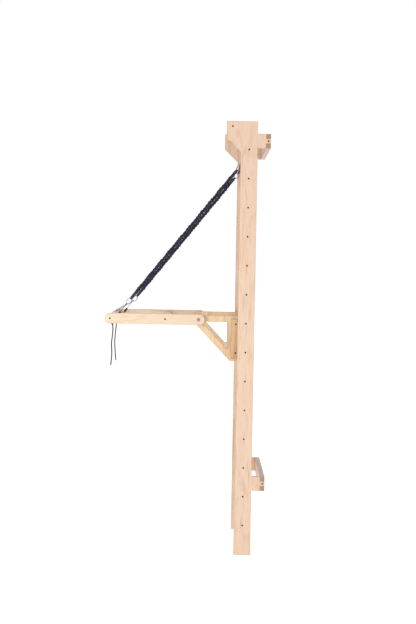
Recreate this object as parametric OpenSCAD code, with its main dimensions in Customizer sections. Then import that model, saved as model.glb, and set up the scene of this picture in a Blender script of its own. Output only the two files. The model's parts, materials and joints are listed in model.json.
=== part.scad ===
// Wall bars with a band-assisted lever.
// Two plywood side panels carry fourteen rungs and a pull-up rung, and stand off the wall on two planks.
// A hooked bracket carries a hinged lever frame, which two elastic bands hold level from the top rung.

/* [Wall bars] */
// Overall height, floor to the top of the side panels
height = 2250; // [2150:10:2400]
// Overall width over the side panels
width = 800; // [660:10:1000]
// Thickness of the plywood
ply = 24; // [18:1:30]
// Depth of a side panel, front to back
panel_depth = 87; // [80:1:110]
// Number of rungs below the head
rung_count = 14; // [14:1:14]
// Distance from rung to rung
rung_pitch = 150; // [125:1:155]
// Height of the lowest rung's axis above the floor
first_rung = 155; // [60:1:200]
// Diameter of every rung and rail
rung_d = 35; // [28:1:42]
// Depth of the blind socket that holds the end of a rung
socket_depth = 10; // [6:1:12]

/* [Head and pull-up rung] */
// How far the head stands out in front of the panel
head_reach = 73; // [60:1:100]
// Height of the head's upright front edge
head_front = 84; // [60:1:110]
// From the head's front edge back to the pull-up rung's axis
pull_up_inset = 30; // [26:1:45]
// From the top of the panels down to the pull-up rung's axis
pull_up_drop = 26; // [24:1:50]

/* [Wall planks] */
// Height of a wall plank and of the tabs that carry it
plank_height = 74; // [60:1:100]
// From the back of the panels to the wall
wall_gap = 68; // [40:1:90]
// Top of the panels to the middle of the upper plank
upper_plank_drop = 100.5; // [95:0.5:160]
// Floor to the middle of the lower plank
lower_plank_rise = 374; // [260:1:420]
// Diameter of the holes for the wall screws
wall_hole_d = 9; // [6:0.5:12]
// Distance between the two wall screw holes of a plank
wall_hole_spacing = 640; // [400:10:640]

/* [Bracket] */
// Number of the rung that the bracket's upper hooks hang on
bracket_rung = 8; // [4:1:9]
// Pivot axis in front of the rung axes
pivot_reach = 246.6; // [240:0.1:300]
// Pivot axis above the hooked rung's axis
pivot_rise = 16; // [10:1:20]
// Width of the bracket's beam and brace
member = 30; // [28:1:40]
// Slope of the bracket's brace below level
brace_angle = 46.5; // [44:0.5:50]
// Thickness of the hook blocks
hook_thickness = 12; // [9:1:12]
// From the rung axes forward to the bracket rails' axes
rail_offset = 51.6; // [48:0.1:60]
// From the rung axes down to the bracket rails' axes
rail_drop = 5; // [0:0.5:8]
// Diameter of the pivot bolts
bolt_d = 8; // [8:1:12]

/* [Lever] */
// Pivot axis to tip rung axis
lever_reach = 459; // [380:1:520]
// Pivot axis to middle rung axis
middle_reach = 173; // [120:1:260]
// Height of a lever bar
bar_height = 55; // [50:1:70]

/* [Elastic bands] */
// Outside of a side panel in to its band's centre line
band_inset = 65; // [65:1:200]
// How far a band's line passes behind the rung axes
band_offset = 18; // [12:1:20]
// Diameter of the ruched sleeve
sleeve_d = 22; // [18:1:28]
// Rung axis to the near end of the webbing, at either end of a band
tackle_top = 120.5; // [118:0.5:140]
// Tip rung axis to the wire that holds the lower webbing
tackle_bottom = 147; // [145:0.5:180]
// Length of webbing that shows between a hook and the sleeve
webbing_show = 44; // [36:1:60]
// Wire diameter of a snap hook
wire_d = 4.5; // [4:0.25:5]
// Diameter of the sling on the top rung
sling_d = 8; // [6:0.5:9]
// Diameter of the cord loop on the tip rung
cord_d = 3; // [2.5:0.5:6]
// Diameter of the free cord tails
tail_d = 6.5; // [4:0.5:8]

/* [Hidden] */
$fn = 64;
joint_gap = 0.1;        // between wooden pieces that are glued or screwed together
running_gap = 0.05;     // radial, between a bolt or pin and what turns on it
side_gap = 2;           // between the lever's planes and the bracket's pieces
play = 0.5;             // sideways play of the lever on its bolts

half_width = width / 2;
inner_face = half_width - ply;
band_spread = half_width - band_inset;
half_depth = panel_depth / 2;
rung_r = rung_d / 2;
wall_y = half_depth + wall_gap;
head_y = -half_depth - head_reach;
pull_up_y = head_y + pull_up_inset;
pull_up_z = height - pull_up_drop;
upper_plank_z = height - upper_plank_drop;
function rung_z(n) = first_rung + (n - 1) * rung_pitch;
top_rung_z = rung_z(rung_count);
all_rung_axes = [for (n = [1 : rung_count]) [0, rung_z(n)], [pull_up_y, pull_up_z]];
plank_axes = [upper_plank_z, lower_plank_rise];

bracket_z = rung_z(bracket_rung);
pivot_y = -pivot_reach;
pivot_z = bracket_z + pivot_rise;
hook_outer = inner_face - side_gap;
plate_outer = hook_outer - hook_thickness;
plate_inner = plate_outer - ply;
rail_axes = [bracket_z - rail_drop, bracket_z - rail_drop - rung_pitch];
nose_r = 24.8;          // round end of the bracket's beam
beam_top = 22;          // above the pivot axis
window_back = 160;      // behind the pivot axis
plate_back = pivot_reach - rung_r - 12;
plate_bottom = pivot_rise + rung_pitch + 47.5;
block_front = 76;       // in front of the rung axes
block_overlap = 21;     // above the two rungs
block_foot = 36;        // below the lower rung
hook_wall = 22;
tip_y = pivot_y - lever_reach;
lever_tail = 5;         // the bar's round end is struck this far behind the pivot
lever_axes = [-lever_reach, -middle_reach];

// Screws: countersunk, black, with a hexagon socket
screw_head_r = 4.2;
screw_head_h = 3;
screw_shank_r = 2.4;
screw_gap = 0.1;
screw_length = 50;

// Pivot hardware
bolt_r = bolt_d / 2;
bolt_head_r = 0.85 * bolt_d;
bolt_head_h = 0.5 * bolt_d;
washer_r = 1.05 * bolt_d;
washer_h = 1.5;
nut_flats = 1.7 * bolt_d;
nut_h = bolt_d;
bolt_end = plate_inner - washer_h - nut_h - 2;
bolt_seat = half_width + play / 2 + washer_h;

// Band geometry: u runs from the top rung's axis down to the tip rung's axis, v towards the wall
band_run = norm([tip_y, top_rung_z - pivot_z]);
band_angle = atan2(-tip_y, top_rung_z - pivot_z);
wire_r = wire_d / 2;
eye_r = 8.5;
bow_r = 11.5;
hook_spacing = 16;
hook_flare = asin((bow_r - eye_r) / hook_spacing);
gate_run = hook_spacing * cos(hook_flare);
gate_gap = 0.4;
gate_r = 1.9;
knuckle_r = 2.8;
knuckle_w = 6.4;
barrel_r = 2.5;
barrel_w = 2.4;
slot_w = 2.6;
slot_r = 3.1;
pin_r = 0.8;
fold_w = 8;
fold_gap = 1.5;
fold_t = 2;
strap_w = 16;
strap_t = 5;
neck = 12;
top_eye_u = tackle_top - eye_r;
bottom_eye_u = band_run - tackle_bottom + eye_r;
sleeve_start = tackle_top + webbing_show;
sleeve_end = band_run - tackle_bottom - webbing_show;

sling_r = sling_d / 2;
cord_r = cord_d / 2;
loop_gap = 0.3;
hook_grip = rung_r + loop_gap;
cord_reach = tackle_bottom - eye_r - hook_spacing - bow_r;
cord_bend_r = rung_r + cord_r + loop_gap;
whipping_start = 31;    // above where the cord leaves the rung
whipping_length = 26;
tube_sides = 8;
knot_r = 8.5;
knot_drop = rung_r + cord_d + 2 * loop_gap + knot_r;

// Tail routes, from the knot under the tip rung down to the bare end: [towards the wall, below the axis]
right_tail = [[10, 0], [12, 14], [13, 30], [12, 50], [10, 70], [8, 90], [7, 108],
              [8, 126], [9, 144], [9, 162], [8, 180], [6, 198], [5, 218]];
left_tail = [[-8, 0], [-9, 14], [-10, 30], [-11, 48], [-13, 66], [-15, 84], [-16, 102], [-17, 120],
             [-17, 138], [-16, 156], [-15, 174], [-13, 192], [-11, 214], [-9, 236]];

RUNGS = ["rung_01", "rung_02", "rung_03", "rung_04", "rung_05", "rung_06", "rung_07",
         "rung_08", "rung_09", "rung_10", "rung_11", "rung_12", "rung_13", "rung_14"];

birch = [0.93, 0.82, 0.69];
birch_light = [0.96, 0.87, 0.75];
beech = [0.94, 0.84, 0.70];
steel = [0.75, 0.77, 0.80];
black_oxide = [0.08, 0.08, 0.09];
sleeve_navy = [0.20, 0.19, 0.26];
cord_navy = [0.27, 0.25, 0.33];

// ---- Shared helpers ----

function unit(v) = v / norm(v);

// A polygon's points with each corner rounded to the radius of the same place in radii
function rounded(points, radii, steps = 8) = let (n = len(points)) [
    for (i = [0 : n - 1])
        let (
            p = points[i],
            a = unit(points[(i + n - 1) % n] - p),
            b = unit(points[(i + 1) % n] - p),
            r = radii[i],
            half = acos(a * b) / 2,
            centre = p + unit(a + b) * r / sin(half),
            from = p + a * r / tan(half) - centre,
            to = p + b * r / tan(half) - centre,
            sweep = 180 - 2 * half
        )
        each r == 0 ? [p] : [
            for (k = [0 : steps])
                centre + (from * sin(sweep * (1 - k / steps)) + to * sin(sweep * k / steps)) / sin(sweep)
        ]
];

// Puts what is drawn with the floor at 0 and the rung axes at y = 0 into the part's own frame
module placed() {
    translate([0, -wall_y, -upper_plank_z]) children();
}

// Stands a y-z outline up and gives it its thickness along x, from x = from outwards on the given side
module upright(side, from, thickness) {
    translate([side > 0 ? from : -from - thickness, 0, 0])
        rotate([90, 0, 90]) linear_extrude(thickness) children();
}

// A cylinder along x, centred on x = 0
module along_x(r, length) {
    rotate([0, 90, 0]) cylinder(r = r, h = length, center = true);
}

// A cylinder along x that starts at x = from and runs towards the middle on the given side
module inwards(side, from, r, length) {
    translate([side * (from - length / 2), 0, 0]) along_x(r, length);
}

// The space a countersunk screw takes in the wood, or the screw itself with gap = 0
module screw_shape(side, from, gap = 0) {
    inwards(side, from + gap, screw_shank_r + gap, screw_length + 2 * gap);
    translate([side * from, 0, 0]) rotate([0, -side * 90, 0])
        translate([0, 0, -gap])
            cylinder(r1 = screw_head_r + 2 * gap, r2 = screw_shank_r + gap, h = screw_head_h + gap);
}

module screw(side, from) {
    difference() {
        screw_shape(side, from);
        translate([side * from, 0, 0]) rotate([0, -side * 90, 0])
            translate([0, 0, -1]) cylinder(r = 2, h = 3.2, $fn = 6);
    }
}

// A rung with its axis at the origin, between sockets whose mouths are at x = face
module dowel(face) {
    end = face + socket_depth - joint_gap;
    difference() {
        along_x(rung_r, 2 * end);
        for (side = [-1, 1]) inwards(side, end + 1, screw_shank_r + screw_gap, screw_length);
    }
}

// The blind socket and screw hole for a rung's end in a piece that lies from x = face outwards
module socket(side, face, outer) {
    inwards(side, face + socket_depth, rung_r + joint_gap, socket_depth + 1);
    screw_shape(side, outer, screw_gap);
}

// ---- Side panels, rungs and wall planks ----

module panel_outline() {
    corner_z = height - head_front;
    polygon(rounded([
        [-half_depth, 0], [half_depth, 0], [half_depth, height], [head_y, height],
        [head_y, corner_z], [-half_depth, corner_z - head_reach]
    ], [2, 2, 2, 2, 6, 6]));
    for (z = plank_axes) {
        translate([half_depth - 1, z - plank_height / 2]) square([wall_gap - ply + 1, plank_height]);
        translate([half_depth - 1, z - plank_height / 6]) square([wall_gap + 1, plank_height / 3]);
    }
}

module side_panel(side) {
    color(birch) placed() difference() {
        upright(side, inner_face, ply) panel_outline();
        for (axis = all_rung_axes) translate([0, axis[0], axis[1]]) socket(side, inner_face, half_width);
        for (z = plank_axes) translate([0, wall_y - ply / 2, z]) screw_shape(side, half_width, screw_gap);
    }
}

module rung(n) {
    color(beech) placed() translate([0, 0, rung_z(n)]) dowel(inner_face);
}

module pull_up_rung() {
    color(beech) placed() translate([0, pull_up_y, pull_up_z]) dowel(inner_face);
}

module wall_plank(z) {
    color(birch) placed() translate([0, wall_y - ply / 2, z]) difference() {
        cube([width, ply - joint_gap, plank_height], center = true);
        for (side = [-1, 1]) {
            translate([side * half_width, 0, 0])
                cube([2 * (ply + joint_gap), ply + 1, plank_height / 3 + 2 * joint_gap], center = true);
            inwards(side, half_width, screw_shank_r + screw_gap, screw_length + 1);
            translate([side * wall_hole_spacing / 2, 0, 0]) rotate([90, 0, 0])
                cylinder(d = wall_hole_d, h = ply + 2, center = true);
        }
    }
}

module rung_screws() {
    color(black_oxide) placed() for (side = [-1, 1], axis = all_rung_axes)
        translate([0, axis[0], axis[1]]) screw(side, half_width);
}

module plank_screws() {
    color(black_oxide) placed() for (side = [-1, 1], z = plank_axes)
        translate([0, wall_y - ply / 2, z]) screw(side, half_width);
}

// ---- Bracket ----

// The bracket plate's outline, from the pivot axis: a nose round the bolt, a beam, a brace and a back member
module plate_outline() {
    nose_z = beam_top - nose_r;
    // the y at which a line parallel to the brace, this far outside the nose's centre, reaches a height
    function on_brace(distance, z) = -(distance + (z - nose_z) * cos(brace_angle)) / sin(brace_angle);
    window_top = beam_top - member - 2.5;
    difference() {
        polygon(rounded([
            [on_brace(nose_r, beam_top), beam_top], [on_brace(nose_r, -plate_bottom), -plate_bottom],
            [plate_back, -plate_bottom], [plate_back, beam_top]
        ], [nose_r, 14, 4, 4], 24));
        polygon(rounded([
            [window_back, window_top],
            [window_back, nose_z - (window_back * sin(brace_angle) + nose_r - member) / cos(brace_angle)],
            [on_brace(nose_r - member, window_top), window_top]
        ], [3, 8, 3]));
    }
}

module bracket_plate(side) {
    color(birch_light) placed() difference() {
        translate([0, pivot_y, pivot_z]) upright(side, plate_inner, ply - joint_gap) plate_outline();
        translate([0, pivot_y, pivot_z]) inwards(side, plate_outer + 1, bolt_r + running_gap, ply + 2);
        for (z = rail_axes) translate([0, -rail_offset, z]) socket(side, plate_inner, hook_outer);
    }
}

// A hook block, from the hooked rung's axis: a hook over that rung and a rest against the one below
module hook_outline() {
    front = -block_front;
    difference() {
        union() {
            polygon(rounded([
                [front, block_overlap], [front, -rung_pitch - block_foot],
                [-rung_r / 2, -rung_pitch - block_foot], [-rung_r / 2, -rung_pitch + block_overlap],
                [-rung_r - 6, -rung_pitch / 2], [-rung_r - 6, block_overlap]
            ], [3, 3, 3, 3, 10, 0]));
            circle(hook_grip + hook_wall);
        }
        circle(hook_grip);
        translate([0, -rung_pitch]) circle(hook_grip);
        translate([-hook_grip, -hook_wall - hook_grip - 1]) square([2 * hook_grip, hook_wall + hook_grip + 1]);
        translate([0, -hook_wall - hook_grip - 1]) square([hook_wall + hook_grip + 1, hook_wall + hook_grip - 4]);
    }
}

module bracket_hook(side) {
    color(birch) placed() difference() {
        translate([0, 0, bracket_z]) upright(side, plate_outer, hook_thickness) hook_outline();
        for (z = rail_axes) translate([0, -rail_offset, z]) screw_shape(side, hook_outer, screw_gap);
    }
}

module bracket_rail(z) {
    color(beech) placed() translate([0, -rail_offset, z]) dowel(plate_inner);
}

module bracket_screws() {
    color(black_oxide) placed() for (side = [-1, 1], z = rail_axes)
        translate([0, -rail_offset, z]) screw(side, hook_outer);
}

// ---- Pivot hardware ----

module at_pivot() {
    placed() translate([0, pivot_y, pivot_z]) children();
}

module pivot_bolts() {
    color(steel) at_pivot() for (side = [-1, 1]) difference() {
        union() {
            inwards(side, bolt_seat, bolt_r, bolt_seat - bolt_end);
            inwards(side, bolt_seat + bolt_head_h / 2, bolt_head_r, bolt_head_h / 2);
            translate([side * (bolt_seat + bolt_head_h / 2), 0, 0]) rotate([0, side * 90, 0])
                cylinder(r1 = bolt_head_r, r2 = 0.62 * bolt_head_r, h = bolt_head_h / 2);
        }
        translate([side * (bolt_seat + bolt_head_h), 0, 0]) rotate([0, 90, 0])
            cylinder(r = 0.35 * bolt_d, h = 0.7 * bolt_head_h, center = true, $fn = 6);
    }
}

module ring_along_x(side, from, length, outer) {
    difference() {
        inwards(side, from, outer, length);
        inwards(side, from + 1, bolt_r + running_gap, length + 2);
    }
}

module pivot_spacers() {
    color(steel) at_pivot() for (side = [-1, 1])
        ring_along_x(side, inner_face - play / 2, inner_face - play / 2 - plate_outer, 0.9 * bolt_d);
}

module pivot_washers() {
    color(steel) at_pivot() for (side = [-1, 1]) {
        ring_along_x(side, bolt_seat, washer_h, washer_r);
        ring_along_x(side, plate_inner, washer_h, washer_r);
    }
}

module pivot_nuts() {
    color(steel) at_pivot() for (side = [-1, 1]) difference() {
        translate([side * (plate_inner - washer_h - nut_h / 2), 0, 0]) rotate([0, 90, 0])
            cylinder(r = nut_flats / sqrt(3), h = nut_h, center = true, $fn = 6);
        inwards(side, plate_inner, bolt_r + running_gap, nut_h + 4);
    }
}

// ---- Lever ----

module lever_bar(side) {
    color(birch_light) at_pivot() difference() {
        upright(side, inner_face, ply) union() {
            for (y = [-lever_reach, lever_tail]) translate([y, 0]) circle(bar_height / 2);
            translate([-lever_reach, -bar_height / 2]) square([lever_reach + lever_tail, bar_height]);
        }
        inwards(side, half_width + 1, bolt_r + running_gap, ply + 2);
        for (y = lever_axes) translate([0, y, 0]) socket(side, inner_face, half_width);
    }
}

module lever_rung(y) {
    color(beech) at_pivot() translate([0, y, 0]) dowel(inner_face);
}

module lever_screws() {
    color(black_oxide) at_pivot() for (side = [-1, 1], y = lever_axes)
        translate([0, y, 0]) screw(side, half_width);
}

// ---- Elastic bands ----

// The band's own frame: the top rung's axis at the origin, -z along the band, +y towards the wall
module band_frame(side) {
    placed() translate([side * band_spread, 0, top_rung_z]) rotate([-band_angle, 0, 0]) children();
}

// A round wire bent to an arc in the y-z plane; 0 degrees points down and 90 degrees along +y
module wire_arc(radius, from, sweep) {
    rotate([0, 90, 0]) rotate([0, 0, from]) rotate_extrude(angle = sweep) translate([radius, 0]) circle(wire_r);
}

// A snap hook with its eye at the origin and its bow below, without the gate on its -y side
module snap_hook() {
    gate_foot = [0, -eye_r * cos(hook_flare), eye_r * sin(hook_flare)];
    nose_angle = asin(wire_r / bow_r) / 2;
    union() {
        difference() {
            union() {
                wire_arc(eye_r, 90 + hook_flare, 180 - 2 * hook_flare);
                translate([0, 0, -hook_spacing])
                    wire_arc(bow_r, nose_angle - 90 - hook_flare, 180 + 2 * hook_flare - nose_angle);
                translate([0, eye_r * cos(hook_flare), eye_r * sin(hook_flare)]) rotate([180 + hook_flare, 0, 0]) {
                    cylinder(r = wire_r, h = gate_run);
                    for (end = [0, gate_run]) translate([0, 0, end]) sphere(wire_r + 0.1);
                }
                translate(gate_foot) along_x(knuckle_r, knuckle_w);
            }
            translate(gate_foot) along_x(slot_r, slot_w);
        }
        translate(gate_foot) along_x(pin_r, knuckle_w - 0.4);
    }
}

// The gate of that hook, closed
module hook_gate() {
    rod = gate_run - slot_r - 2 * gate_gap;
    translate([0, -eye_r * cos(hook_flare), eye_r * sin(hook_flare)]) rotate([-hook_flare, 0, 0]) difference() {
        union() {
            along_x(barrel_r, barrel_w);
            translate([-barrel_w / 2, -1.5, -5]) cube([barrel_w, 3, 5]);
            translate([0, 0, gate_gap - gate_run]) cylinder(r = gate_r, h = rod);
        }
        along_x(pin_r + running_gap, barrel_w + 1);
    }
}

// Webbing folded round the eye's wire, which is at the origin, and stitched down to the sleeve above it
module webbing() {
    inner = wire_r + fold_gap;
    outer = inner + fold_t;
    rotate([90, 0, 0]) linear_extrude(fold_w, center = true) difference() {
        union() {
            circle(outer);
            polygon([[-outer, 0], [outer, 0], [strap_t / 2, neck], [-strap_t / 2, neck]]);
        }
        circle(inner);
        polygon([[-inner, 0], [inner, 0], [0.2, neck - 3], [-0.2, neck - 3]]);
    }
    translate([-strap_t / 2, -strap_w / 2, neck - 0.1]) cube([strap_t, strap_w, webbing_show - neck - joint_gap + 0.1]);
}

module elastic_sleeve(side) {
    length = sleeve_end - sleeve_start;
    color(sleeve_navy) band_frame(side) translate([0, band_offset, -sleeve_end])
        rotate_extrude() polygon(rounded([
            [0, 0], [sleeve_d / 2, 0], [sleeve_d / 2, length], [0, length]
        ], [0, 4, 4, 0]));
}

// A closed or open tube through a route of [point, reference] pairs; each reference lies across its tangent
module tube(route, radii, closed) {
    count = len(route);
    points = [for (i = [0 : count - 1])
        let (
            before = route[closed ? (i + count - 1) % count : max(i - 1, 0)][0],
            after = route[closed ? (i + 1) % count : min(i + 1, count - 1)][0],
            along = unit(after - before),
            across = unit(route[i][1] - (route[i][1] * along) * along),
            third = cross(along, across)
        )
        for (k = [0 : tube_sides - 1])
            let (a = 360 * k / tube_sides)
            route[i][0] + radii[i] * (across * cos(a) + third * sin(a))
    ];
    last = closed ? count - 1 : count - 2;
    walls = [for (i = [0 : last], k = [0 : tube_sides - 1])
        let (
            a = i * tube_sides,
            b = (i + 1) % count * tube_sides,
            m = (k + 1) % tube_sides
        )
        each [[a + m, a + k, b + k], [a + m, b + k, b + m]]
    ];
    ends = closed ? [] : [
        [for (k = [0 : tube_sides - 1]) k],
        [for (k = [tube_sides - 1 : -1 : 0]) (count - 1) * tube_sides + k]
    ];
    polyhedron(points = points, faces = concat(walls, ends));
}

// A rope loop round a rung whose axis is at the origin, up to a hook's wire at height reach:
// round the rung in the y-z plane, then twisting a quarter turn to pass through the hook along x
function loop_route(reach, bend_r, bight_r) =
    let (
        far = [0, band_offset, reach],
        tilt = atan2(reach, band_offset),
        spread = acos(bend_r / norm([band_offset, reach])),
        back = tilt - spread,
        wrap = 360 - 2 * spread,
        on_rung = function (a) [0, bend_r * cos(a), bend_r * sin(a)],
        start = on_rung(back),
        end = on_rung(back - wrap),
        right = far + [bight_r, 0, 0],
        left = far - [bight_r, 0, 0],
        strand_steps = 5,
        wrap_steps = 18,
        bight_steps = 6
    )
    concat(
        [for (k = [0 : wrap_steps]) [on_rung(back - wrap * k / wrap_steps), [1, 0, 0]]],
        [for (k = [1 : strand_steps - 1]) let (t = k / strand_steps)
            [end + (left - end) * t, [cos(90 * t), sin(90 * t), 0]]],
        [for (k = [0 : bight_steps]) let (a = 180 - 180 * k / bight_steps)
            [far + bight_r * [cos(a), 0, sin(a)], [0, 1, 0]]],
        [for (k = [1 : strand_steps - 1]) let (t = k / strand_steps)
            [right + (start - right) * t, [sin(90 * t), cos(90 * t), 0]]]
    );

module top_sling(side) {
    route = loop_route(top_eye_u - hook_spacing - bow_r, rung_r + sling_r + loop_gap, wire_r + sling_r + loop_gap);
    color(cord_navy) band_frame(side) mirror([0, 0, 1]) tube(route, [for (p = route) sling_r], true);
}

module top_hook(side) {
    color(steel) band_frame(side) translate([0, band_offset, -top_eye_u]) mirror([0, 0, 1]) snap_hook();
}

module top_hook_gate(side) {
    color(steel) band_frame(side) translate([0, band_offset, -top_eye_u]) mirror([0, 0, 1]) hook_gate();
}

module upper_webbing(side) {
    color(sleeve_navy) band_frame(side) translate([0, band_offset, -tackle_top]) mirror([0, 0, 1]) webbing();
}

module lower_webbing(side) {
    color(sleeve_navy) band_frame(side) translate([0, band_offset, tackle_bottom - band_run]) webbing();
}

module bottom_hook(side) {
    color(steel) band_frame(side) translate([0, band_offset, -bottom_eye_u]) snap_hook();
}

module bottom_hook_gate(side) {
    color(steel) band_frame(side) translate([0, band_offset, -bottom_eye_u]) hook_gate();
}

module cord_loop(side) {
    route = loop_route(cord_reach, cord_bend_r, wire_r + cord_r + loop_gap);
    color(cord_navy) band_frame(side) translate([0, 0, -band_run]) tube(route, [for (p = route) cord_r], true);
}

// The whipping binds the loop's back strand just above the rung
module cord_whipping(side) {
    tilt = atan2(cord_reach, band_offset);
    back = tilt - acos(cord_bend_r / norm([band_offset, cord_reach]));
    foot = cord_bend_r * [0, cos(back), sin(back)];
    head = [wire_r + cord_r + loop_gap, band_offset, cord_reach];
    along = unit(head - foot);
    bulge = [3.4, 5.2, 5.6, 5.6, 5.2, 3.4];
    route = [for (k = [0 : 5]) [foot + along * (whipping_start + whipping_length * k / 5), [0, 1, 0]]];
    color(cord_navy) band_frame(side) translate([0, 0, -band_run]) tube(route, bulge, false);
}

// A free tail with the stopper knot that it hangs from, under the tip rung
module cord_tail(side, points) {
    route = [for (p = points) [[0, p[0], -p[1]], [1, 0, 0]]];
    color(cord_navy) placed() translate([side * band_spread, tip_y, pivot_z - knot_drop]) {
        tube(route, [for (p = route) tail_d / 2], false);
        translate([0, points[0][0], 0]) sphere(knot_r);
    }
}

side_panel(-1);  // side_panel_left
side_panel(1);  // side_panel_right
for (n = [1 : rung_count]) rung(n);
pull_up_rung();
wall_plank(upper_plank_z);  // wall_plank_upper
wall_plank(lower_plank_rise);  // wall_plank_lower
rung_screws();
plank_screws();
bracket_plate(-1);  // bracket_plate_left
bracket_plate(1);  // bracket_plate_right
bracket_hook(-1);  // bracket_hook_left
bracket_hook(1);  // bracket_hook_right
bracket_rail(rail_axes[0]);  // bracket_rail_upper
bracket_rail(rail_axes[1]);  // bracket_rail_lower
bracket_screws();
pivot_bolts();
pivot_spacers();
pivot_washers();
pivot_nuts();
lever_bar(-1);  // lever_bar_left
lever_bar(1);  // lever_bar_right
lever_rung(-lever_reach);  // lever_tip_rung
lever_rung(-middle_reach);  // lever_middle_rung
lever_screws();
top_sling(-1);  // top_sling_left
top_sling(1);  // top_sling_right
top_hook(-1);  // top_hook_left
top_hook(1);  // top_hook_right
top_hook_gate(-1);  // top_hook_gate_left
top_hook_gate(1);  // top_hook_gate_right
upper_webbing(-1);  // upper_webbing_left
upper_webbing(1);  // upper_webbing_right
elastic_sleeve(-1);  // elastic_sleeve_left
elastic_sleeve(1);  // elastic_sleeve_right
lower_webbing(-1);  // lower_webbing_left
lower_webbing(1);  // lower_webbing_right
bottom_hook(-1);  // bottom_hook_left
bottom_hook(1);  // bottom_hook_right
bottom_hook_gate(-1);  // bottom_hook_gate_left
bottom_hook_gate(1);  // bottom_hook_gate_right
cord_loop(-1);  // cord_loop_left
cord_loop(1);  // cord_loop_right
cord_whipping(-1);  // cord_whipping_left
cord_whipping(1);  // cord_whipping_right
cord_tail(-1, left_tail);  // cord_tail_left
cord_tail(1, right_tail);  // cord_tail_right
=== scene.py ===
"""Plywood wall bars with a band-assisted lever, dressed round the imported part.

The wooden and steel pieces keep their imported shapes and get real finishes. The ruched sleeves, webbing, slings, cord
loops, whippings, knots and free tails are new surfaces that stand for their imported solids.
"""

import json
import logging
import math
from dataclasses import dataclass
from enum import Enum

import bpy
import numpy as np
from mathutils import Matrix, Vector


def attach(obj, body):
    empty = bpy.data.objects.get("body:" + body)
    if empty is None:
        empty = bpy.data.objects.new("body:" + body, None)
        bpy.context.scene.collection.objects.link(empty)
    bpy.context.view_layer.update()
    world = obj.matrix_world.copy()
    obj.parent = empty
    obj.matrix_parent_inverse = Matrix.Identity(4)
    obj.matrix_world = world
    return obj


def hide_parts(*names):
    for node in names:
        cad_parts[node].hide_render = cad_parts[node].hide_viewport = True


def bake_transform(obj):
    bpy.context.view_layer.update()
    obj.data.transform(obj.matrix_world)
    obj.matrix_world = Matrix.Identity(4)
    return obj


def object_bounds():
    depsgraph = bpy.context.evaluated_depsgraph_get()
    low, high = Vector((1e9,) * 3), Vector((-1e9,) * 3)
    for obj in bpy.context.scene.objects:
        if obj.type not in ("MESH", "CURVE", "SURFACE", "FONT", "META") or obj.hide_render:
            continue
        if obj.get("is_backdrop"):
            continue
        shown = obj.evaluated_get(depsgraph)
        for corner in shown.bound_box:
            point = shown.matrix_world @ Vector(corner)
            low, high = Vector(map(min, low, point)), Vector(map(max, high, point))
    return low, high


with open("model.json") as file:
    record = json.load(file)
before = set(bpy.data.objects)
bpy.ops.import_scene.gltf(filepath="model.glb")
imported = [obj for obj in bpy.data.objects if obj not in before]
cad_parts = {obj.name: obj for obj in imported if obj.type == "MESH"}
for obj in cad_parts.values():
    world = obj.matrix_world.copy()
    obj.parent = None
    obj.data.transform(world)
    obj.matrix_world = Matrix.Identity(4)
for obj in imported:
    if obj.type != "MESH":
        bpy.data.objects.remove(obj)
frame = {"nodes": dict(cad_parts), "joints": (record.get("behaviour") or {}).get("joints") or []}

LOG = logging.getLogger("wall_bars")
MM = 0.001
PLAIT_STRANDS = 4


class Side(Enum):
    """A side of the wall bars, as someone facing the rungs sees them."""

    LEFT = "left"
    RIGHT = "right"


class Axis(Enum):
    """An axis of the part's frame."""

    ACROSS = 0
    TO_WALL = 1
    UP = 2


# ---- Shapes ----


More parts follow.
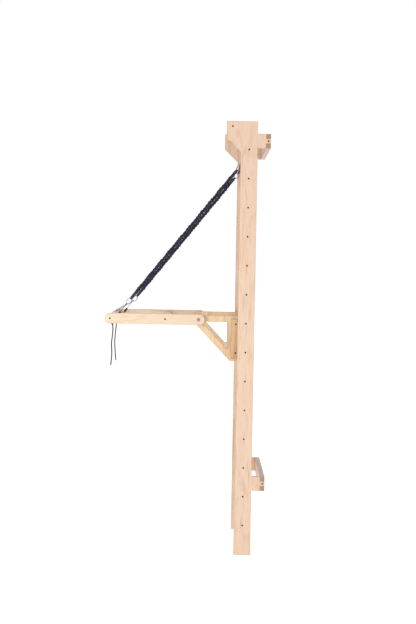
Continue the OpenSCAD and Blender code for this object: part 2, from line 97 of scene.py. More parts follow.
@dataclass
class Skin:
    """A surface on a grid, with what a finish needs to know about it.

    Fields:
        points: rows x columns x 3, in metres in the part's frame. Columns run once round a section.
        repeats: how many times the finish's pattern repeats along the rows.
        closed: the last row meets the first one, as on a loop.
        relief: rows x columns, from 0 in a fold to 1 on a crest, or None. A textile finish paints shade into
            the colour by it, darker in the folds, and paints highlight, paler on the crests.
    """

    points: np.ndarray
    repeats: float
    closed: bool = False
    relief: np.ndarray | None = None

    def make(self, name: str) -> bpy.types.Object:
        """Puts the surface into a mesh object at the origin.

        Each quad joins a point to its neighbours along the row and the column; an open end is closed by a fan of
        triangles round the mean of its ring. The UV map holds (turns round the section, pattern repeats along it).

        Args:
            name: the new object's name.

        Returns:
            The object, linked to the scene.
        """
        rows, columns, _ = self.points.shape
        spans = rows if self.closed else rows - 1
        i, k = np.meshgrid(np.arange(spans), np.arange(columns), indexing="ij")
        low, high = i * columns, (i + 1) % rows * columns
        right = (k + 1) % columns
        quads = np.stack([low + k, low + right, high + right, high + k], -1).reshape(-1, 4)
        turn = np.stack([k, k + 1, k + 1, k], -1).reshape(-1, 4) / columns
        along = np.stack([i, i, i + 1, i + 1], -1).reshape(-1, 4) / spans * self.repeats
        uv = np.stack([turn, along], -1).reshape(-1, 2)
        points = self.points.reshape(-1, 3)
        corners, starts = quads.ravel(), np.arange(len(quads)) * 4
        sizes = np.full(len(quads), 4)
        if not self.closed:
            ends = np.stack([self.points[0].mean(0), self.points[-1].mean(0)])
            ring = np.arange(columns)
            after = (ring + 1) % columns
            last = (rows - 1) * columns
            fans = np.concatenate([
                np.stack([np.full(columns, len(points)), after, ring], -1),
                np.stack([np.full(columns, len(points) + 1), last + ring, last + after], -1),
            ])
            points = np.concatenate([points, ends])
            level = np.repeat([0.0, self.repeats], columns * 3)
            uv = np.concatenate([uv, np.stack([np.tile(ring.repeat(3) / columns, 2), level], -1)])
            starts = np.concatenate([starts, len(corners) + np.arange(len(fans)) * 3])
            sizes = np.concatenate([sizes, np.full(len(fans), 3)])
            corners = np.concatenate([corners, fans.ravel()])
        mesh = bpy.data.meshes.new(name)
        mesh.vertices.add(len(points))
        mesh.vertices.foreach_set("co", points.astype(np.float32).ravel())
        mesh.loops.add(len(corners))
        mesh.loops.foreach_set("vertex_index", corners.astype(np.int32))
        mesh.polygons.add(len(starts))
        mesh.polygons.foreach_set("loop_start", starts.astype(np.int32))
        mesh.polygons.foreach_set("loop_total", sizes.astype(np.int32))
        mesh.polygons.foreach_set("use_smooth", np.ones(len(starts), bool))
        mesh.uv_layers.new(name="Lay").data.foreach_set("uv", uv.astype(np.float32).ravel())
        if self.relief is not None:
            height = np.concatenate([self.relief.ravel(), np.zeros(len(points) - self.relief.size)])
            mesh.attributes.new("relief", "FLOAT", "POINT").data.foreach_set("value", height.astype(np.float32))
        mesh.update()
        mesh.validate()
        piece = bpy.data.objects.new(name, mesh)
        bpy.context.scene.collection.objects.link(piece)
        return piece


def unit(vectors: np.ndarray) -> np.ndarray:
    """Returns vectors scaled to length 1 along their last axis."""
    return vectors / np.linalg.norm(vectors, axis=-1, keepdims=True)


def swept(route: np.ndarray, reference: np.ndarray, section: np.ndarray, closed: bool = False) -> np.ndarray:
    """Carries a section along a route.

    A point is the route's point plus its section's first number times the reference, made square to the route, plus
    its second number times what is square to both.

    Args:
        route: n x 3 points.
        reference: n x 3 vectors that lie across the route.
        section: n x m x 2 offsets, anticlockwise.
        closed: the route's end meets its start.

    Returns:
        n x m x 3 points.
    """
    step = np.roll(route, -1, 0) - np.roll(route, 1, 0) if closed else np.gradient(route, axis=0)
    along = unit(step)
    across = unit(reference - (reference * along).sum(1, keepdims=True) * along)
    third = np.cross(along, across)
    return route[:, None] + section[..., :1] * across[:, None] + section[..., 1:] * third[:, None]


def round_section(radii: np.ndarray) -> np.ndarray:
    """Turns n x m distances from a route, at m equal angles, into n x m x 2 offsets."""
    angle = 2 * np.pi * np.arange(radii.shape[1]) / radii.shape[1]
    return np.stack([radii * np.cos(angle), radii * np.sin(angle)], -1)


def plaited(turn: np.ndarray, phase: np.ndarray) -> np.ndarray:
    """Returns a plait's height, -1 to 1: the sine of its strands round plus a phase, times that of them less it."""
    return np.sin(2 * np.pi * PLAIT_STRANDS * turn + phase) * np.sin(2 * np.pi * PLAIT_STRANDS * turn - phase)


def smooth_route(points: np.ndarray, spacing: float, closed: bool = False) -> np.ndarray:
    """Lays a smooth curve through points and steps along it evenly.

    Between two points the curve is a cubic whose slope at each of them is half the way from the point before to the
    point after.

    Args:
        points: n x 3 points.
        spacing: the distance between steps, in the points' unit.
        closed: the curve returns to its start.

    Returns:
        The steps, both ends among them for an open curve.
    """
    ring = np.concatenate([points[-1:], points, points[:2]]) if closed else np.concatenate(
        [2 * points[:1] - points[1:2], points, 2 * points[-1:] - points[-2:-1]])
    a, b, c, d = ring[:-3, None], ring[1:-2, None], ring[2:-1, None], ring[3:, None]
    t = np.linspace(0, 1, 24, endpoint=False)[None, :, None]
    fine = 0.5 * (2 * b + (c - a) * t + (2 * a - 5 * b + 4 * c - d) * t**2 + (3 * b - a - 3 * c + d) * t**3)
    fine = np.concatenate([fine.reshape(-1, 3), points[:1] if closed else points[-1:]])
    run = np.concatenate([[0], np.cumsum(np.linalg.norm(np.diff(fine, axis=0), axis=1))])
    steps = np.linspace(0, run[-1], max(4, round(run[-1] / spacing)) + 1)
    if closed:
        steps = steps[:-1]
    return np.stack([np.interp(steps, run, fine[:, axis]) for axis in range(3)], -1)


def run_length(route: np.ndarray, closed: bool = False) -> float:
    """Returns a route's length."""
    ends = np.concatenate([route, route[:1]]) if closed else route
    return float(np.linalg.norm(np.diff(ends, axis=0), axis=1).sum())


def ease(t: np.ndarray) -> np.ndarray:
    """Rises smoothly from 0 to 1: three t squared less two t cubed, with t held between 0 and 1."""
    t = np.clip(t, 0, 1)
    return t * t * (3 - 2 * t)


# ---- Finishes ----


def linear(colour: str, alpha: float = 1.0) -> tuple[float, float, float, float]:
    """Turns an sRGB hex colour into the linear numbers that a shader takes.

    Args:
        colour: six hex digits after a #.
        alpha: the fourth number.

    Returns:
        Red, green, blue and alpha.
    """
    parts = np.array([int(colour[i : i + 2], 16) for i in (1, 3, 5)]) / 255
    parts = np.where(parts <= 0.04045, parts / 12.92, ((parts + 0.055) / 1.055) ** 2.4)
    return (*(float(p) for p in parts), alpha)


def add_node(tree: bpy.types.NodeTree, kind: str, settings: dict | None = None,
             links: dict | None = None) -> bpy.types.Node:
    """Adds one node to a shader.

    Args:
        tree: the material's node tree.
        kind: the node's type, without ShaderNode.
        settings: values for the node's own properties, by name, or for its sockets, by name or number.
        links: the socket that feeds each of its inputs, by name or number.

    Returns:
        The node.
    """
    node = tree.nodes.new("ShaderNode" + kind)
    for key, value in (settings or {}).items():
        if isinstance(key, str) and key in node.bl_rna.properties:
            setattr(node, key, value)
        else:
            node.inputs[key].default_value = value
    for key, source in (links or {}).items():
        tree.links.new(source, node.inputs[key])
    return node


def ramp(tree: bpy.types.NodeTree, source: bpy.types.NodeSocket,
         stops: list[tuple[float, str]]) -> bpy.types.NodeSocket:
    """Colours a number between 0 and 1.

    Args:
        tree: the material's node tree.
        source: the number.
        stops: places and sRGB hex colours, in order.

    Returns:
        The colour.
    """
    node = add_node(tree, "ValToRGB", links={"Fac": source})
    band = node.color_ramp
    band.elements[0].position, band.elements[1].position = stops[0][0], stops[-1][0]
    band.elements[0].color, band.elements[1].color = linear(stops[0][1]), linear(stops[-1][1])
    for place, colour in stops[1:-1]:
        band.elements.new(place).color = linear(colour)
    return node.outputs["Color"]


@dataclass(frozen=True)
class Finish:
    """What every finish has: a name, and the gloss of its surface."""

    name: str
    roughness: float = 0.5
    bump_height: float = 0.2 * MM

    def material(self) -> bpy.types.Material:
        """Makes the finish's material, or returns the one made before."""
        made = bpy.data.materials.get(self.name)
        if made is not None:
            return made
        material = bpy.data.materials.new(self.name)
        material.use_nodes = True
        tree = material.node_tree
        tree.nodes.clear()
        output = add_node(tree, "OutputMaterial")
        shader = add_node(tree, "BsdfPrincipled", {"Roughness": self.roughness})
        tree.links.new(shader.outputs["BSDF"], output.inputs["Surface"])
        self.dress(tree, shader)
        return material

    def dress(self, tree: bpy.types.NodeTree, shader: bpy.types.Node) -> None:
        """Feeds the shader. Each finish has its own."""
        raise NotImplementedError

    def relief(self, tree: bpy.types.NodeTree, shader: bpy.types.Node, height: bpy.types.NodeSocket,
               edge: float = 0.0) -> None:
        """Lets a height from 0 to 1 tilt the surface, over edges that are eased by a given radius."""
        bump = add_node(tree, "Bump", {"Strength": 1.0, "Distance": self.bump_height}, {"Height": height})
        if edge > 0:
            eased = add_node(tree, "Bevel", {"samples": 4, "Radius": edge})
            tree.links.new(eased.outputs["Normal"], bump.inputs["Normal"])
        tree.links.new(bump.outputs["Normal"], shader.inputs["Normal"])


@dataclass(frozen=True)
class BirchPlywood(Finish):
    """Birch plywood, sanded and varnished satin: pale rotary-cut faces with a faint wavy figure, and edges that show
    the veneers in turn, pale where the grain runs along the edge and browner where it is cut across. An edge that
    the face's grain ends on is browner than one that it runs along."""

    thickness: Axis = Axis.ACROSS
    grain: Axis = Axis.UP
    pale: str = "#DDBCA2"
    warm: str = "#D6B397"
    figure: str = "#CAA37F"
    long_edge: str = "#D6AF86"
    end_edge: str = "#C99E72"
    cut_grain: str = "#B48659"
    veneer: float = 3.0 * MM
    rounding: float = 5 * MM
    figure_width: float = 40 * MM
    streak_width: float = 4.5 * MM
    pore_width: float = 1.6 * MM
    figure_stretch: float = 5.0
    streak_stretch: float = 24.0
    pore_stretch: float = 10.0
    coat: float = 0.5
    coat_roughness: float = 0.38

    def dress(self, tree: bpy.types.NodeTree, shader: bpy.types.Node) -> None:
        """Mixes the face's figure and the edge's veneers by which way the surface looks."""
        place = add_node(tree, "TexCoord")
        # each pattern is longer along the grain than across it; the streaks and the pores are drawn coarser than real
        # ones, so that they show
        stretch = [1 / self.figure_width] * 3
        stretch[self.grain.value] /= self.figure_stretch
        wave = add_node(tree, "Mapping", {"Scale": stretch}, {"Vector": place.outputs["Object"]})
        broad = add_node(tree, "TexNoise", {"Scale": 1.0, "Detail": 4.0, "Roughness": 0.6, "Distortion": 1.6},
                         {"Vector": wave.outputs["Vector"]})
        narrow = [1 / self.streak_width] * 3
        narrow[self.grain.value] /= self.streak_stretch
        line = add_node(tree, "Mapping", {"Scale": narrow}, {"Vector": place.outputs["Object"]})
        streaks = add_node(tree, "TexNoise", {"Scale": 1.0, "Detail": 2.0, "Distortion": 0.3},
                           {"Vector": line.outputs["Vector"]})
        half = add_node(tree, "Math", {"operation": "MULTIPLY", 1: 0.5}, {0: broad.outputs["Fac"]})
        both = add_node(tree, "Math", {"operation": "MULTIPLY_ADD", 1: 0.5},
                        {0: streaks.outputs["Fac"], 2: half.outputs[0]})
        thin = [1 / self.pore_width] * 3
        thin[self.grain.value] /= self.pore_stretch
        fine = add_node(tree, "Mapping", {"Scale": thin}, {"Vector": place.outputs["Object"]})
        pores = add_node(tree, "TexNoise", {"Scale": 1.0, "Detail": 2.0}, {"Vector": fine.outputs["Vector"]})
        face = ramp(tree, both.outputs[0], [(0.36, self.figure), (0.45, self.warm), (0.52, self.pale),
                                            (0.60, self.pale), (0.68, self.warm)])
        pore = add_node(tree, "MapRange", {"From Min": 0.60, "From Max": 0.78, "To Min": 0.0, "To Max": 0.30},
                        {"Value": pores.outputs["Fac"]})
        face = add_node(tree, "Mix", {"data_type": "RGBA", 7: linear(self.figure)}, {0: pore.outputs[0], 6: face})
        apart = add_node(tree, "SeparateXYZ", links={"Vector": place.outputs["Object"]})
        layer = add_node(tree, "Math", {"operation": "MULTIPLY", 1: math.pi / self.veneer},
                         {0: apart.outputs[self.thickness.value]})
        layer = add_node(tree, "Math", {"operation": "SINE"}, {0: layer.outputs[0]})
        cut = add_node(tree, "MapRange", {"From Min": -0.15, "From Max": 0.15}, {"Value": layer.outputs[0]})
        looks = add_node(tree, "SeparateXYZ", links={"Vector": place.outputs["Normal"]})
        ends = add_node(tree, "Math", {"operation": "ABSOLUTE"}, {0: looks.outputs[self.grain.value]})
        on_end = add_node(tree, "MapRange", {"From Min": 0.5, "From Max": 0.8}, {"Value": ends.outputs[0]})
        plain = add_node(tree, "Mix", {"data_type": "RGBA", 6: linear(self.long_edge), 7: linear(self.end_edge)},
                         {0: on_end.outputs[0]})
        edge = add_node(tree, "Mix", {"data_type": "RGBA", 7: linear(self.cut_grain)},
                        {0: cut.outputs[0], 6: plain.outputs[2]})
        flat = add_node(tree, "Math", {"operation": "ABSOLUTE"}, {0: looks.outputs[self.thickness.value]})
        on_face = add_node(tree, "MapRange", {"From Min": 0.6, "From Max": 0.8}, {"Value": flat.outputs[0]})
        colour = add_node(tree, "Mix", {"data_type": "RGBA"},
                          {0: on_face.outputs[0], 6: edge.outputs[2], 7: face.outputs[2]})
        # a rounded-over edge is drawn as a browner line in the cut-grain colour: partly the veneers that the rounding
        # cuts through, partly painted shade along the edge
        eased = add_node(tree, "Bevel", {"samples": 6, "Radius": self.rounding})
        true = add_node(tree, "NewGeometry")
        turned = add_node(tree, "VectorMath", {"operation": "DOT_PRODUCT"},
                          {0: eased.outputs["Normal"], 1: true.outputs["True Normal"]})
        worn = add_node(tree, "MapRange", {"From Min": 0.99, "From Max": 0.90, "To Max": 0.85},
                        {"Value": turned.outputs["Value"]})
        colour = add_node(tree, "Mix", {"data_type": "RGBA", 7: linear(self.cut_grain)},
                          {0: worn.outputs[0], 6: colour.outputs[2]})
        tree.links.new(colour.outputs[2], shader.inputs["Base Color"])
        sheen = add_node(tree, "MapRange", {"To Min": self.roughness - 0.07, "To Max": self.roughness + 0.08},
                         {"Value": pores.outputs["Fac"]})
        tree.links.new(sheen.outputs[0], shader.inputs["Roughness"])
        shader.inputs["Coat Weight"].default_value = self.coat
        shader.inputs["Coat Roughness"].default_value = self.coat_roughness
        self.relief(tree, shader, pores.outputs["Fac"], 1.5 * MM)


@dataclass(frozen=True)
class BeechDowel(Finish):
    """Turned beech dowel with a satin varnish: even, warm and pale, with short brown flecks along the grain."""

    body: str = "#D8BC9C"
    deep: str = "#C6A37F"
    fleck: str = "#A47C55"
    fleck_width: float = 1.4 * MM
    coat: float = 0.3
    coat_roughness: float = 0.28

    def dress(self, tree: bpy.types.NodeTree, shader: bpy.types.Node) -> None:
        """Lays long soft bands and short flecks along the dowel."""
        place = add_node(tree, "TexCoord")
        bands = add_node(tree, "Mapping", {"Scale": (3.0, 60.0, 60.0)}, {"Vector": place.outputs["Object"]})
        tone = add_node(tree, "TexNoise", {"Scale": 1.0, "Detail": 3.0, "Distortion": 0.4},
                        {"Vector": bands.outputs["Vector"]})
        # a fleck is 1 to 3 mm long and a third as wide in the wood; it is drawn at twice that
        size = 1 / self.fleck_width
        dashes = add_node(tree, "Mapping", {"Scale": (size / 6, size, size)}, {"Vector": place.outputs["Object"]})
        flecks = add_node(tree, "TexNoise", {"Scale": 1.0, "Detail": 1.0}, {"Vector": dashes.outputs["Vector"]})
        body = ramp(tree, tone.outputs["Fac"], [(0.32, self.deep), (0.60, self.body)])
        where = add_node(tree, "MapRange", {"From Min": 0.63, "From Max": 0.74, "To Max": 0.5},
                         {"Value": flecks.outputs["Fac"]})
        colour = add_node(tree, "Mix", {"data_type": "RGBA", 7: linear(self.fleck)}, {0: where.outputs[0], 6: body})
        tree.links.new(colour.outputs[2], shader.inputs["Base Color"])
        shader.inputs["Coat Weight"].default_value = self.coat
        shader.inputs["Coat Roughness"].default_value = self.coat_roughness
        self.relief(tree, shader, flecks.outputs["Fac"])


@dataclass(frozen=True)
class PlatedSteel(Finish):
    """Steel with a thin plated or oxide skin: even colour, with faint cloudy patches where it is handled."""

    colour: str = "#C4C8CE"
    worn: str = "#AEB2B8"
    metallic: float = 1.0
    patch: float = 3 * MM
    specular: float = 0.5

    def dress(self, tree: bpy.types.NodeTree, shader: bpy.types.Node) -> None:
        """Clouds the colour and the roughness together."""
        place = add_node(tree, "TexCoord")
        cloud = add_node(tree, "TexNoise", {"Scale": 1 / self.patch, "Detail": 4.0, "Roughness": 0.6},
                         {"Vector": place.outputs["Object"]})
        colour = ramp(tree, cloud.outputs["Fac"], [(0.35, self.worn), (0.62, self.colour)])
        tree.links.new(colour, shader.inputs["Base Color"])
        gloss = add_node(tree, "MapRange", {"To Min": self.roughness - 0.08, "To Max": self.roughness + 0.12},
                         {"Value": cloud.outputs["Fac"]})
        tree.links.new(gloss.outputs[0], shader.inputs["Roughness"])
        shader.inputs["Metallic"].default_value = self.metallic
        shader.inputs["Specular IOR Level"].default_value = self.specular
        self.relief(tree, shader, cloud.outputs["Fac"], 0.3 * MM)


@dataclass(frozen=True)
class Textile(Finish):
    """Dyed polyester yarn that runs both ways round a piece, with pale flecks of painted highlight where a filament
    catches the light. Its colour is darker in the folds and between the yarns and strands, as painted shade, and
    paler on the crests, as painted highlight.
    """

    deep: str = "#1E1D29"
    body: str = "#373548"
    crest: str = "#524D69"
    fleck: str = "#B9B6C6"
    painted_glint_share: float = 0.12
    ends_round: float = 6.0
    yarns_along: float = 1.0

    def dress(self, tree: bpy.types.NodeTree, shader: bpy.types.Node) -> None:
        """Crosses two sets of yarns on the surface's own lay: the sine of ends round plus repeats along, times the
        sine of ends round less repeats along."""
        lay = add_node(tree, "UVMap", {"uv_map": "Lay"})
        apart = add_node(tree, "SeparateXYZ", links={"Vector": lay.outputs["UV"]})
        turn = add_node(tree, "Math", {"operation": "MULTIPLY", 1: 2 * math.pi * self.ends_round},
                        {0: apart.outputs[0]})
        run = add_node(tree, "Math", {"operation": "MULTIPLY", 1: 2 * math.pi * self.yarns_along},
                       {0: apart.outputs[1]})
        one = add_node(tree, "Math", {"operation": "ADD"}, {0: turn.outputs[0], 1: run.outputs[0]})
        other = add_node(tree, "Math", {"operation": "SUBTRACT"}, {0: turn.outputs[0], 1: run.outputs[0]})
        one = add_node(tree, "Math", {"operation": "SINE"}, {0: one.outputs[0]})
        other = add_node(tree, "Math", {"operation": "SINE"}, {0: other.outputs[0]})
        weave = add_node(tree, "Math", {"operation": "MULTIPLY"}, {0: one.outputs[0], 1: other.outputs[0]})
        height = add_node(tree, "MapRange", {"From Min": -1.0, "From Max": 1.0}, {"Value": weave.outputs[0]})
        # painted shade and painted highlight: the colour runs from deep in the folds and between the yarns to crest on
        # the crests, by the relief and the weave's height
        fold = add_node(tree, "Attribute", {"attribute_name": "relief"})
        shade = add_node(tree, "Math", {"operation": "MULTIPLY_ADD", 1: 0.35, 2: 0.0}, {0: height.outputs[0]})
        shade = add_node(tree, "Math", {"operation": "MULTIPLY_ADD", 1: 0.65},
                         {0: fold.outputs["Fac"], 2: shade.outputs[0]})
        colour = ramp(tree, shade.outputs[0], [(0.12, self.deep), (0.50, self.body), (0.92, self.crest)])
        place = add_node(tree, "TexCoord")
        # painted highlight: a catch of light on one filament is under half a millimetre; it is drawn at two so that it
        # shows
        dots = add_node(tree, "TexNoise", {"Scale": 1 / (2 * MM), "Detail": 1.0}, {"Vector": place.outputs["Object"]})
        where = add_node(tree, "MapRange", {"From Min": 0.72 - self.painted_glint_share, "From Max": 0.80, "To Max": 0.55},
                         {"Value": dots.outputs["Fac"]})
        mixed = add_node(tree, "Mix", {"data_type": "RGBA", 7: linear(self.fleck)}, {0: where.outputs[0], 6: colour})
        tree.links.new(mixed.outputs[2], shader.inputs["Base Color"])
        shader.inputs["Specular IOR Level"].default_value = 0.2
        shader.inputs["Sheen Weight"].default_value = 0.04
        shader.inputs["Sheen Roughness"].default_value = 0.5
        shader.inputs["Sheen Tint"].default_value = linear("#D8D4E6")
        self.relief(tree, shader, height.outputs[0])


PANEL_PLY = BirchPlywood("birch_plywood_panel", roughness=0.42, grain=Axis.UP)
LEVER_PLY = BirchPlywood("birch_plywood_lever", roughness=0.40, grain=Axis.TO_WALL, pale="#DCC0A4", warm="#D8B894",
                         figure="#CFA77C")
BRACKET_PLY = BirchPlywood("birch_plywood_bracket", roughness=0.42, grain=Axis.UP, pale="#DCBC98", warm="#D4AE85",
                           figure="#C69C72")
HOOK_PLY = BirchPlywood("birch_plywood_hook_block", roughness=0.45, grain=Axis.UP, pale="#D0A678", warm="#C7996A",
                        figure="#B98D60")
# the plank's long edges, top and bottom, get a pale lavender-grey in place of a wood colour: painted reflection of the
# white surround at a grazing angle, and painted cool shade
PLANK_PLY = BirchPlywood("birch_plywood_plank", roughness=0.42, thickness=Axis.TO_WALL, grain=Axis.ACROSS,
                         long_edge="#C4ACAA", end_edge="#B08766", cut_grain="#94704F")
DOWEL = BeechDowel("beech_dowel_varnished", roughness=0.40, bump_height=0.1 * MM)
BLACK_SCREW = PlatedSteel("black_oxide_steel_screw", roughness=0.6, bump_height=0.03 * MM, colour="#0C0C0D",
                          worn="#060606", metallic=0.1, patch=1.5 * MM, specular=0.2)
ZINC_STEEL = PlatedSteel("bright_zinc_plated_steel", roughness=0.32, bump_height=0.02 * MM, colour="#A9A6B4",
                         worn="#77747F")
SLEEVE_CLOTH = Textile("ruched_polyester_sleeve", roughness=0.85, bump_height=0.5 * MM, deep="#100F18",
                       body="#24222F", crest="#3D3A4E", fleck="#C9C6D6", painted_glint_share=0.07, ends_round=14,
                       yarns_along=2)
WEBBING_CLOTH = Textile("woven_polyester_webbing", roughness=0.75, bump_height=0.4 * MM, deep="#15141E",
                        body="#2C2A38", crest="#4A4659", ends_round=10)
CORD_BRAID = Textile("braided_polyester_cord", roughness=0.70, bump_height=0.3 * MM, deep="#2B2640", body="#4E4768",
                     crest="#6F678A", ends_round=4)
TAIL_BRAID = Textile("braided_polyester_tail_cord", roughness=0.75, bump_height=0.3 * MM, deep="#181229",
                     body="#2F284A", crest="#4A416A", painted_glint_share=0.06, ends_round=4)
SLING_BRAID = Textile("braided_polyester_sling_rope", roughness=0.70, bump_height=0.3 * MM, deep="#1D1B29",
                      body="#393648", crest="#5A556C", ends_round=4)
WAXED_THREAD = Textile("waxed_whipping_thread", roughness=0.55, bump_height=0.1 * MM, deep="#0B0A10", body="#15141B",
                       crest="#24222C", ends_round=2)


def dress_node(node: str, finish: Finish) -> None:
    """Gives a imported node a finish, in every slot it has."""
    piece = frame["nodes"][node]
    piece.data.materials.clear()
    piece.data.materials.append(finish.material())
    LOG.info("%s: %s", node, finish.name)


def hand_over(piece: bpy.types.Object, finish: Finish, slot: str, body: str | None, *nodes: str) -> bpy.types.Object:
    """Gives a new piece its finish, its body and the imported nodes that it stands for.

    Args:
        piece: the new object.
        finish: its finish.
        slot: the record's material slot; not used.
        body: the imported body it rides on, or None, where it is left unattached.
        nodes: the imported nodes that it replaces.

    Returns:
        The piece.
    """
    piece.data.materials.append(finish.material())
    if body is not None:
        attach(piece, body)
    if nodes:
        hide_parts(*nodes)
    LOG.info("%s: %d faces, %s", piece.name, len(piece.data.polygons), finish.name)
    return piece


def joint_place(name: str) -> np.ndarray:
    """Returns a joint's point in the part's frame."""
    return np.array(next(j for j in frame["joints"] if j["name"] == name)["pos_m"], float)


def joint_axis(name: str) -> np.ndarray:
    """Returns a joint's direction in the part's frame."""
    return unit(np.array(next(j for j in frame["joints"] if j["name"] == name)["axis"], float))


# ---- Camera, lights and floor ----


@dataclass
class Studio:
    """A pale floor under plain soft light, and the camera."""

    floor: float
    floor_radius: float = 60.0
    floor_points: int = 96
    eye: tuple[float, float, float] = (8.1, -0.3195, -0.6597)
    turn: float = 0.077
    dip: float = 1.694
    roll: float = 1.035
    lens: float = 85.83
    sky: float = 0.86
    floor_glow: float = 0.3
    key_power: float = 34.0
    key_size: float = 0.9
    key_at: tuple[float, float, float] = (3.1, -1.75, -0.95)
    key_aim: tuple[float, float, float] = (0.4, -0.25, -0.95)
    key_colour: tuple[float, float, float] = (0.78, 0.93, 1.0)

    def camera(self) -> None:
        """Puts the camera to the right of the wall bars, looking along them."""
        turn, dip, roll = (math.radians(a) for a in (self.turn, self.dip, self.roll))
        ahead = Vector((-math.cos(dip) * math.cos(turn), math.cos(dip) * math.sin(turn), -math.sin(dip)))
        right = ahead.cross(Vector((0, 0, 1))).normalized()
        up = right.cross(ahead)
        tilted_right = right * math.cos(roll) + up * math.sin(roll)
        tilted_up = up * math.cos(roll) - right * math.sin(roll)
        data = bpy.data.cameras.new("camera")
        data.lens, data.sensor_width, data.sensor_fit = self.lens, 36.0, "AUTO"
        data.clip_start, data.clip_end = 0.1, 200.0
        camera = bpy.data.objects.new("camera", data)
        bpy.context.scene.collection.objects.link(camera)
        turned = Matrix((tilted_right, tilted_up, -ahead)).transposed().to_4x4()
        camera.matrix_world = Matrix.Translation(Vector(self.eye)) @ turned
        bpy.context.scene.camera = camera

    def lights(self) -> None:
        """Sets an even white surround and one broad soft light on the camera's side."""
        scene = bpy.context.scene
        scene.view_settings.view_transform = "Standard"
        world = bpy.data.worlds.new("surround")
        scene.world = world
        world.use_nodes = True
        surround = world.node_tree.nodes["Background"]
        surround.inputs["Color"].default_value = (1.0, 1.0, 1.0, 1.0)
        # the backdrop is plain white, and lights the object a little less than a white room would
        ray = add_node(world.node_tree, "LightPath")
        bright = add_node(world.node_tree, "MapRange", {"To Min": self.sky, "To Max": 1.0},
                          {"Value": ray.outputs["Is Camera Ray"]})
        world.node_tree.links.new(bright.outputs[0], surround.inputs["Strength"])
        data = bpy.data.lights.new("key", "AREA")
        data.shape, data.size, data.energy, data.color = "SQUARE", self.key_size, self.key_power, self.key_colour
        key = bpy.data.objects.new("key", data)
        key.visible_camera = False
        scene.collection.objects.link(key)
        at, to = Vector(self.key_at), Vector(self.key_aim)
        key.matrix_world = Matrix.Translation(at) @ (to - at).to_track_quat("-Z", "Y").to_matrix().to_4x4()

    def ground(self) -> None:
        """Lays a wide floor disc, a fan of points at equal angles."""
        count = self.floor_points
        angle = np.linspace(0, 2 * np.pi, count, endpoint=False)
        rim = np.stack([self.floor_radius * np.cos(angle), self.floor_radius * np.sin(angle),
                        np.full(count, self.floor)], -1)
        mesh = bpy.data.meshes.new("floor")
        mesh.from_pydata(rim.tolist(), [], [list(range(count))])
        material = bpy.data.materials.new("matt_white_floor")
        material.use_nodes = True
        shader = material.node_tree.nodes["Principled BSDF"]
        shader.inputs["Base Color"].default_value = linear("#FAFAFA")
        # the floor is lit from below as well, as a light table is, so that it is as bright as the surround
        shader.inputs["Emission Color"].default_value = (1.0, 1.0, 1.0, 1.0)
        shader.inputs["Emission Strength"].default_value = self.floor_glow
        shader.inputs["Roughness"].default_value = 0.9
        shader.inputs["Specular IOR Level"].default_value = 0.1
        mesh.materials.append(material)
        floor = bpy.data.objects.new("floor", mesh)
        bpy.context.scene.collection.objects.link(floor)
        floor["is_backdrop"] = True


# ---- Free tails ----


@dataclass
class CordTail:
    """A free end of thin cord that hangs from its stopper knot under the tip rung.

    Fields:
        side: which lever bar it hangs beside.
        lay: points on its route in millimetres, [towards the wall, below the knot].
    """

    side: Side
    lay: list[list[float]]
    knot_drop: float = 29.6 * MM
    diameter: float = 6.5 * MM
    knot_radius: float = 8.5 * MM
    plait_pitch: float = 7 * MM
    route_step: float = 1.5 * MM

    def route(self) -> np.ndarray:
        """Returns the tail's smooth route, knot first."""
        below = np.array(self.lay) * MM
        points = np.stack([np.zeros(len(below)), below[:, 0], -below[:, 1]], -1)
        start = joint_place(f"tail_swing_{self.side.value}") - [0, 0, self.knot_drop]
        return smooth_route(points + start, self.route_step)

    def tail(self) -> bpy.types.Object:
        """Makes the tail: a round section, plaited, whose last millimetres close to a melted, rounded tip.

        The radius is that of the cord, 4 % more on each crossing of the plait, times the root of one less the square
        of how far into the tip the section is.
        """
        route = self.route()
        length = run_length(route)
        run = np.linspace(0, length, len(route))
        columns = 16
        turn = np.arange(columns) / columns
        repeats = length / self.plait_pitch
        phase = 2 * np.pi * run[:, None] / self.plait_pitch
        crossing = plaited(turn, phase)
        tip = np.clip((run - (length - self.diameter / 2)) / (self.diameter / 2), 0, 0.97)
        radii = self.diameter / 2 * (1 + 0.04 * crossing) * np.sqrt(1 - tip**2)[:, None]
        # the relief paints shade into the colour between the plait's strands
        skin = Skin(swept(route, np.tile([1.0, 0, 0], (len(route), 1)), round_section(radii)), repeats,
                    relief=0.5 + 0.5 * crossing)
        piece = skin.make(f"tail_cord_{self.side.value}")
        hand_over(piece, TAIL_BRAID, "braided_cord", f"tail_{self.side.value}", f"cord_tail_{self.side.value}")
        self.knot()
        return piece

    def knot(self) -> bpy.types.Object:
        """Makes the stopper knot: cord on a three-lobed closed curve, (sin t + 2 sin 2t, cos t - 2 cos 2t, -sin 3t)."""
        t = np.linspace(0, 2 * np.pi, 144, endpoint=False)
        reach = (self.knot_radius - self.diameter / 2) / 3
        curve = np.stack([-1.3 * np.sin(3 * t), np.sin(t) + 2 * np.sin(2 * t), np.cos(t) - 2 * np.cos(2 * t)], -1)
        route = curve * reach + self.route()[0]
        columns = 14
        turn = np.arange(columns) / columns
        repeats = round(run_length(route, True) / self.plait_pitch)
        phase = np.linspace(0, 2 * np.pi * repeats, len(t), endpoint=False)[:, None]
        crossing = plaited(turn, phase)
        radii = self.diameter / 2 * (0.96 + 0.04 * crossing)
        outward = route - route.mean(0) + 1e-9
        # the relief paints shade into the colour between the plait's strands
        skin = Skin(swept(route, outward, round_section(radii), True), repeats, True, 0.5 + 0.5 * crossing)
        piece = skin.make(f"tail_knot_{self.side.value}")
        return hand_over(piece, TAIL_BRAID, "braided_cord", f"tail_{self.side.value}")


# ---- Elastic bands ----


